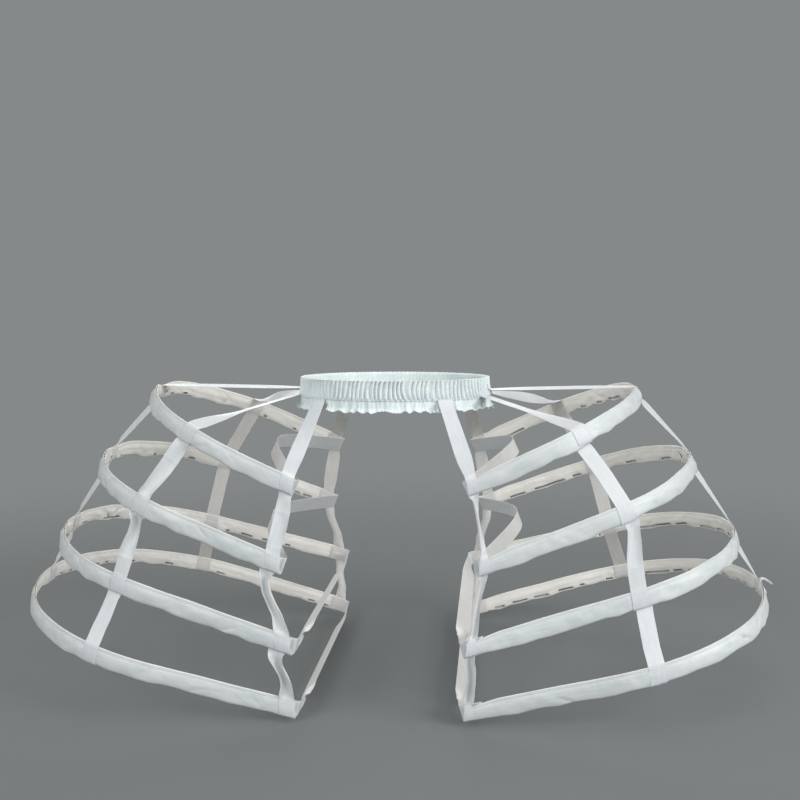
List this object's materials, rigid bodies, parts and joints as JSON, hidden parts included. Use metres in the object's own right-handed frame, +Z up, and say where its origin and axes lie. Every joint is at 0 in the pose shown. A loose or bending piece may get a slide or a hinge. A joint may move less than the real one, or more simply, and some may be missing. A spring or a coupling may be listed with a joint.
{
  "type": "crinoline cage",
  "caption": "Side-hoop crinoline cage of cloth-cased hoops hung on tapes from a gathered elastic waistband, open at the front and back.",
  "frame": {"origin": "centre of the footprint, on the plane of the lowest hoop ends, with the baskets held open as they hang when worn", "axes": "+Z up along the wearer's body, -Y towards the wearer's front, +X towards the wearer's left"},
  "size_m": [0.8964, 0.4404, 0.3601],
  "materials": {
    "satin": "white polyester satin",
    "ribbon": "white satin ribbon tape",
    "cotton": "pale gathered cotton",
    "spring_steel": "flat spring steel",
    "elastic": "woven elastic"
  },
  "bodies": {
    "root": {"waistband": "cotton", "waist_elastic": "elastic", "left_hoop_1_casing": "satin", "left_hoop_1_bone": "spring_steel", "left_hoop_1_tie": "ribbon", "left_hoop_2_casing": "satin", "left_hoop_2_bone": "spring_steel", "left_hoop_2_tie": "ribbon", "left_hoop_3_casing": "satin", "left_hoop_3_bone": "spring_steel", "left_hoop_3_tie": "ribbon", "left_hoop_4_casing": "satin", "left_hoop_4_bone": "spring_steel", "left_hoop_4_tie": "ribbon", "left_front_inner_tape": "ribbon", "left_front_middle_tape": "ribbon", "left_side_tape": "ribbon", "left_back_middle_tape": "ribbon", "left_back_inner_tape": "ribbon", "right_hoop_1_casing": "satin", "right_hoop_1_bone": "spring_steel", "right_hoop_1_tie": "ribbon", "right_hoop_2_casing": "satin", "right_hoop_2_bone": "spring_steel", "right_hoop_2_tie": "ribbon", "right_hoop_3_casing": "satin", "right_hoop_3_bone": "spring_steel", "right_hoop_3_tie": "ribbon", "right_hoop_4_casing": "satin", "right_hoop_4_bone": "spring_steel", "right_hoop_4_tie": "ribbon", "right_front_inner_tape": "ribbon", "right_front_middle_tape": "ribbon", "right_side_tape": "ribbon", "right_back_middle_tape": "ribbon", "right_back_inner_tape": "ribbon"}
  },
  "joints": []
}
